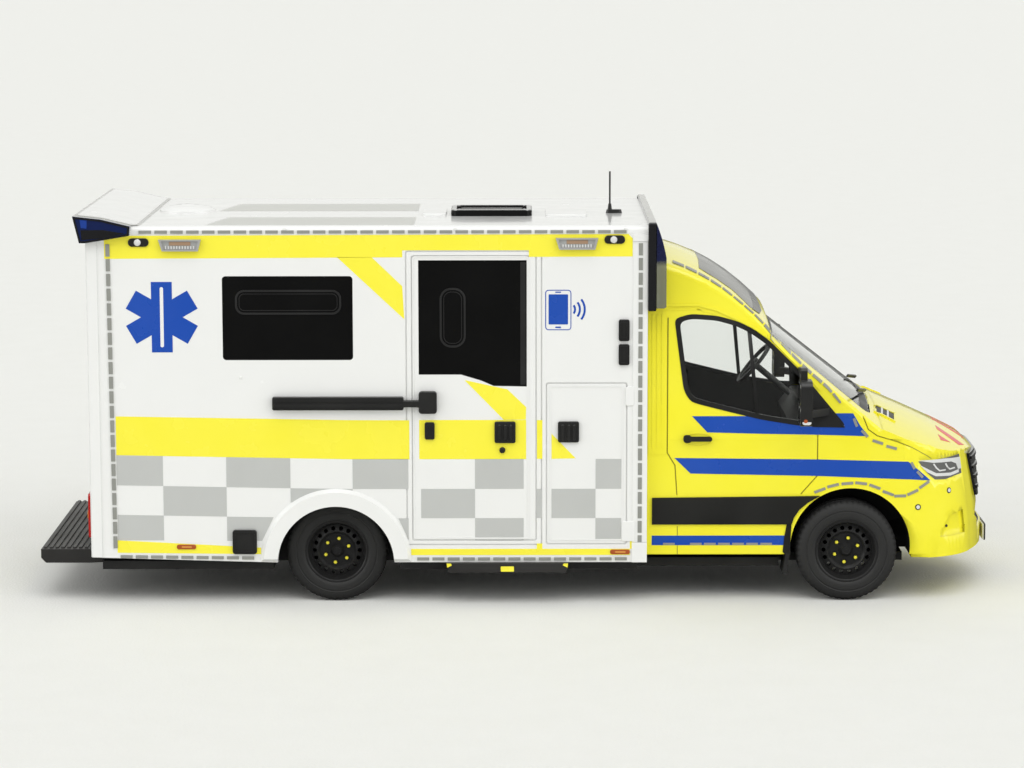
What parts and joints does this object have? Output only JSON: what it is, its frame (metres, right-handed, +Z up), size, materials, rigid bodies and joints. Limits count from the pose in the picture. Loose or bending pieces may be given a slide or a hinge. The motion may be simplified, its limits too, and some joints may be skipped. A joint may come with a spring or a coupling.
{
  "type": "scale model box-body ambulance",
  "caption": "Display model of an ambulance: a yellow van cab with clear glazing ahead of a white box body with blue, grey and yellow livery, on freely rolling wheels.",
  "frame": {"origin": "on the ground under the middle of the model's length and width", "axes": "+X forwards along the model, +Y to the vehicle's left, +Z up"},
  "size_m": [0.1606, 0.0612, 0.0704],
  "materials": {
    "yellow_paint": "gloss lacquer on cast resin",
    "white_paint": "gloss lacquer on cast resin",
    "silver_paint": "metallic lacquer",
    "plate_white": "satin, blank",
    "black_plastic": "moulded satin black",
    "black_gloss": "polished black",
    "black_glazing": "black privacy glazing",
    "black_rim": "satin black wheel",
    "grey_metal": "dull grey",
    "steel": "turned pin",
    "tyre": "soft vinyl",
    "clear_glass": "vacuum-formed clear sheet",
    "clear_lens": "clear moulding",
    "lamp_silver": "bright lamp",
    "blue_lens": "tinted blue moulding",
    "red_lens": "tinted red moulding"
  },
  "bodies": {
    "vehicle": {"antenna": "black_plastic", "base_plate": "black_plastic", "box_front_wall": "white_paint", "box_left_wall": "white_paint", "box_rear_wall": "white_paint", "box_right_wall": "white_paint", "box_roof": "white_paint", "box_windows": "black_glazing", "bumper_inserts": "black_plastic", "cab_interior": "black_plastic", "cab_seats": "black_plastic", "cab_shell": "yellow_paint", "corner_flashers": "black_gloss", "dashboard": "black_plastic", "door_hardware": "black_plastic", "door_rail": "black_plastic", "door_windows": "clear_glass", "exhaust": "grey_metal", "front_light_bar": "black_gloss", "front_light_lens": "blue_lens", "grille": "black_gloss", "headlamps": "clear_lens", "marker_lamps": "red_lens", "mirror_left": "black_plastic", "mirror_right": "black_plastic", "mudflaps": "black_plastic", "number_plates": "plate_white", "rear_light_bar": "silver_paint", "rear_light_lens": "blue_lens", "rear_step": "black_plastic", "roof_hatch": "black_gloss", "roof_vent": "white_paint", "scene_lamps": "lamp_silver", "side_step": "black_plastic", "side_trims": "black_plastic", "steering_wheel": "black_plastic", "tail_lamps": "red_lens", "windscreen": "clear_glass", "wipers": "black_plastic"},
    "front_axle": {"front_axle_rod": "steel", "front_left_rim": "black_rim", "front_left_tyre": "tyre", "front_right_rim": "black_rim", "front_right_tyre": "tyre"},
    "rear_axle": {"rear_axle_rod": "steel", "rear_left_rim": "black_rim", "rear_left_tyre": "tyre", "rear_right_rim": "black_rim", "rear_right_tyre": "tyre"}
  },
  "joints": [
    {"name": "front_axle_spin", "type": "hinge", "parent": "vehicle", "child": "front_axle", "pos_m": [0.0546, 0, 0.00845], "axis": [0, 1, 0], "continuous": true},
    {"name": "rear_axle_spin", "type": "hinge", "parent": "vehicle", "child": "rear_axle", "pos_m": [-0.0306, 0, 0.00845], "axis": [0, 1, 0], "continuous": true}
  ]
}
